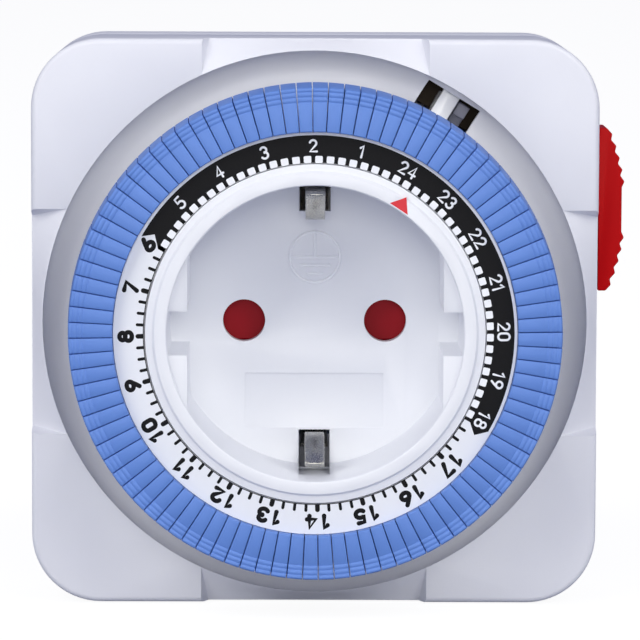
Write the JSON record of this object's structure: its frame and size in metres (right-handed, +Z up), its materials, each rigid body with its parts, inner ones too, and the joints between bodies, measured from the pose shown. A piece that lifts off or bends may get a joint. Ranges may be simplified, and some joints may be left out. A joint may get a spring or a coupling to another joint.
{
  "type": "plug-in timer switch",
  "caption": "Square plug-in 24-hour timer switch: round plug boss with two pins behind, earthed socket in front inside a turning dial with a rim of push segments, side override slider.",
  "frame": {"origin": "centre of the plug boss's end face, between the two plug pins", "axes": "+Y along the plug pins into the wall, +Z up, +X to the right seen from the dial side; the dial turns about Y"},
  "size_m": [0.0797, 0.0785, 0.076],
  "materials": {
    "housing_white": "fine moulded texture",
    "socket_white": "smooth satin",
    "dial_white": "smooth satin",
    "scale_print": "black and white print on satin plastic",
    "segment_blue": "satin, moulded",
    "pointer_red": "satin",
    "slider_red": "satin",
    "shutter_red": "satin",
    "lever_white": "glossy",
    "base_grey": "moulded",
    "carrier_white": "moulded",
    "plate_white": "moulded",
    "bobbin_nylon": "moulded",
    "train_acetal": "smooth",
    "clutch_acetal": "smooth",
    "drive_acetal": "smooth",
    "contact_brass": "rolled strip",
    "leaf_bronze": "oxide-blackened rolled strip",
    "pin_nickel": "nickel plated brass",
    "earth_nickel": "nickel plated bronze strip",
    "spring_steel": "drawn wire",
    "pivot_steel": "ground",
    "screw_zinc": "zinc plated",
    "can_zinc": "zinc plated pressing",
    "winding_copper": "enamelled copper wire",
    "rotor_ferrite": "sintered"
  },
  "bodies": {
    "housing": {"front_housing": "housing_white", "rear_housing": "housing_white", "socket_cup": "socket_white", "dial_seat": "socket_white", "pointer_triangle": "pointer_red", "lever_pin": "pivot_steel", "shutter_spring": "spring_steel", "contact_carrier": "carrier_white", "line_contact": "contact_brass", "neutral_contact": "contact_brass", "fixed_contact": "contact_brass", "line_pin": "pin_nickel", "neutral_pin": "pin_nickel", "earth_strap": "earth_nickel", "switch_base": "base_grey", "movement_plate": "plate_white", "stator_can": "can_zinc", "coil_bobbin": "bobbin_nylon", "coil_winding": "winding_copper", "gear_arbors": "pivot_steel", "housing_screws": "screw_zinc", "inner_screws": "screw_zinc"},
    "dial": {"dial_wheel": "dial_white", "scale_ring": "scale_print"},
    "override_slider": {"override_slider": "slider_red"},
    "trip_lever": {"trip_lever": "lever_white"},
    "moving_contact": {"moving_contact": "leaf_bronze"},
    "safety_shutter": {"safety_shutter": "shutter_red"},
    "rotor": {"rotor": "rotor_ferrite"},
    "drive_pinion": {"drive_pinion": "drive_acetal"},
    "first_wheel": {"first_wheel": "train_acetal"},
    "second_wheel": {"second_wheel": "train_acetal"},
    "third_wheel": {"third_wheel": "train_acetal"},
    "fourth_wheel": {"fourth_wheel": "train_acetal"},
    "clutch_wheel": {"clutch_wheel": "clutch_acetal"},
    "segments_hour_01": {"segments_hour_01": "segment_blue"},
    "segments_hour_02": {"segments_hour_02": "segment_blue"},
    "segments_hour_03": {"segments_hour_03": "segment_blue"},
    "segments_hour_04": {"segments_hour_04": "segment_blue"},
    "segments_hour_05": {"segments_hour_05": "segment_blue"},
    "segments_hour_06": {"segments_hour_06": "segment_blue"},
    "segments_hour_07": {"segments_hour_07": "segment_blue"},
    "segments_hour_08": {"segments_hour_08": "segment_blue"},
    "segments_hour_09": {"segments_hour_09": "segment_blue"},
    "segments_hour_10": {"segments_hour_10": "segment_blue"},
    "segments_hour_11": {"segments_hour_11": "segment_blue"},
    "segments_hour_12": {"segments_hour_12": "segment_blue"},
    "segments_hour_13": {"segments_hour_13": "segment_blue"},
    "segments_hour_14": {"segments_hour_14": "segment_blue"},
    "segments_hour_15": {"segments_hour_15": "segment_blue"},
    "segments_hour_16": {"segments_hour_16": "segment_blue"},
    "segments_hour_17": {"segments_hour_17": "segment_blue"},
    "segments_hour_18": {"segments_hour_18": "segment_blue"},
    "segments_hour_19": {"segments_hour_19": "segment_blue"},
    "segments_hour_20": {"segments_hour_20": "segment_blue"},
    "segments_hour_21": {"segments_hour_21": "segment_blue"},
    "segments_hour_22": {"segments_hour_22": "segment_blue"},
    "segments_hour_23": {"segments_hour_23": "segment_blue"},
    "segments_hour_24": {"segments_hour_24": "segment_blue"}
  },
  "joints": [
    {"name": "dial_turn", "type": "hinge", "parent": "housing", "child": "dial", "pos_m": [0, -0.05, 0], "axis": [0, 1, 0], "continuous": true},
    {"name": "drive_pinion_turn", "type": "hinge", "parent": "housing", "child": "drive_pinion", "pos_m": [-0.01549, -0.038, 0.02212], "axis": [0, 1, 0], "continuous": true},
    {"name": "override_slide", "type": "slide", "parent": "housing", "child": "override_slider", "axis": [0, 0, 1], "range_m": [0, 0.004]},
    {"name": "trip_lever_hinge", "type": "hinge", "parent": "housing", "child": "trip_lever", "pos_m": [0.01594, -0.0346, 0.02601], "axis": [-0.8526, 0, 0.5225], "range_deg": [0, 5.5]},
    {"name": "moving_contact_hinge", "type": "hinge", "parent": "housing", "child": "moving_contact", "pos_m": [0.01089, -0.0314, 0.03308], "axis": [0.5225, 0, 0.8526], "range_deg": [0, 3.2], "stiffness_Nm_per_rad": 0.002},
    {"name": "shutter_hinge", "type": "hinge", "parent": "housing", "child": "safety_shutter", "pos_m": [0, -0.0379, 0], "axis": [0, 1, 0], "range_deg": [0, 44], "stiffness_Nm_per_rad": 0.0008},
    {"name": "rotor_turn", "type": "hinge", "parent": "housing", "child": "rotor", "pos_m": [-0.02051, -0.025, -0.02058], "axis": [0, 1, 0], "continuous": true},
    {"name": "first_wheel_turn", "type": "hinge", "parent": "housing", "child": "first_wheel", "pos_m": [-0.02498, -0.028, -0.01053], "axis": [0, 1, 0], "continuous": true},
    {"name": "second_wheel_turn", "type": "hinge", "parent": "housing", "child": "second_wheel", "pos_m": [-0.02498, -0.0293, 0.00047], "axis": [0, 1, 0], "continuous": true},
    {"name": "third_wheel_turn", "type": "hinge", "parent": "housing", "child": "third_wheel", "pos_m": [-0.02383, -0.0306, 0.01141], "axis": [0, 1, 0], "continuous": true},
    {"name": "fourth_wheel_turn", "type": "hinge", "parent": "housing", "child": "fourth_wheel", "pos_m": [-0.02206, -0.0319, 0.01972], "axis": [0, 1, 0], "continuous": true},
    {"name": "clutch_wheel_turn", "type": "hinge", "parent": "housing", "child": "clutch_wheel", "pos_m": [-0.01549, -0.0332, 0.02212], "axis": [0, 1, 0], "continuous": true},
    {"name": "press_hour_01", "type": "slide", "parent": "dial", "child": "segments_hour_01", "axis": [0, 1, 0], "range_m": [0, 0.0025]},
    {"name": "press_hour_02", "type": "slide", "parent": "dial", "child": "segments_hour_02", "axis": [0, 1, 0], "range_m": [0, 0.0025]},
    {"name": "press_hour_03", "type": "slide", "parent": "dial", "child": "segments_hour_03", "axis": [0, 1, 0], "range_m": [0, 0.0025]},
    {"name": "press_hour_04", "type": "slide", "parent": "dial", "child": "segments_hour_04", "axis": [0, 1, 0], "range_m": [0, 0.0025]},
    {"name": "press_hour_05", "type": "slide", "parent": "dial", "child": "segments_hour_05", "axis": [0, 1, 0], "range_m": [0, 0.0025]},
    {"name": "press_hour_06", "type": "slide", "parent": "dial", "child": "segments_hour_06", "axis": [0, 1, 0], "range_m": [0, 0.0025]},
    {"name": "press_hour_07", "type": "slide", "parent": "dial", "child": "segments_hour_07", "axis": [0, 1, 0], "range_m": [0, 0.0025]},
    {"name": "press_hour_08", "type": "slide", "parent": "dial", "child": "segments_hour_08", "axis": [0, 1, 0], "range_m": [0, 0.0025]},
    {"name": "press_hour_09", "type": "slide", "parent": "dial", "child": "segments_hour_09", "axis": [0, 1, 0], "range_m": [0, 0.0025]},
    {"name": "press_hour_10", "type": "slide", "parent": "dial", "child": "segments_hour_10", "axis": [0, 1, 0], "range_m": [0, 0.0025]},
    {"name": "press_hour_11", "type": "slide", "parent": "dial", "child": "segments_hour_11", "axis": [0, 1, 0], "range_m": [0, 0.0025]},
    {"name": "press_hour_12", "type": "slide", "parent": "dial", "child": "segments_hour_12", "axis": [0, 1, 0], "range_m": [0, 0.0025]},
    {"name": "press_hour_13", "type": "slide", "parent": "dial", "child": "segments_hour_13", "axis": [0, 1, 0], "range_m": [0, 0.0025]},
    {"name": "press_hour_14", "type": "slide", "parent": "dial", "child": "segments_hour_14", "axis": [0, 1, 0], "range_m": [0, 0.0025]},
    {"name": "press_hour_15", "type": "slide", "parent": "dial", "child": "segments_hour_15", "axis": [0, 1, 0], "range_m": [0, 0.0025]},
    {"name": "press_hour_16", "type": "slide", "parent": "dial", "child": "segments_hour_16", "axis": [0, 1, 0], "range_m": [0, 0.0025]},
    {"name": "press_hour_17", "type": "slide", "parent": "dial", "child": "segments_hour_17", "axis": [0, 1, 0], "range_m": [0, 0.0025]},
    {"name": "press_hour_18", "type": "slide", "parent": "dial", "child": "segments_hour_18", "axis": [0, 1, 0], "range_m": [0, 0.0025]},
    {"name": "press_hour_19", "type": "slide", "parent": "dial", "child": "segments_hour_19", "axis": [0, 1, 0], "range_m": [0, 0.0025]},
    {"name": "press_hour_20", "type": "slide", "parent": "dial", "child": "segments_hour_20", "axis": [0, 1, 0], "range_m": [0, 0.0025]},
    {"name": "press_hour_21", "type": "slide", "parent": "dial", "child": "segments_hour_21", "axis": [0, 1, 0], "range_m": [0, 0.0025]},
    {"name": "press_hour_22", "type": "slide", "parent": "dial", "child": "segments_hour_22", "axis": [0, 1, 0], "range_m": [0, 0.0025]},
    {"name": "press_hour_23", "type": "slide", "parent": "dial", "child": "segments_hour_23", "axis": [0, 1, 0], "range_m": [0, 0.0025]},
    {"name": "press_hour_24", "type": "slide", "parent": "dial", "child": "segments_hour_24", "axis": [0, 1, 0], "range_m": [0, 0.0025]}
  ],
  "couplings": [
    {"joint": "drive_pinion_turn", "follows": "dial_turn", "ratio": -8},
    {"joint": "trip_lever_hinge", "follows": "moving_contact_hinge", "ratio": 1.7},
    {"joint": "first_wheel_turn", "follows": "rotor_turn", "ratio": -0.1},
    {"joint": "second_wheel_turn", "follows": "rotor_turn", "ratio": 0.01},
    {"joint": "third_wheel_turn", "follows": "rotor_turn", "ratio": -0.001},
    {"joint": "fourth_wheel_turn", "follows": "rotor_turn", "ratio": 0.00013333},
    {"joint": "clutch_wheel_turn", "follows": "rotor_turn", "ratio": -0.000022222}
  ]
}
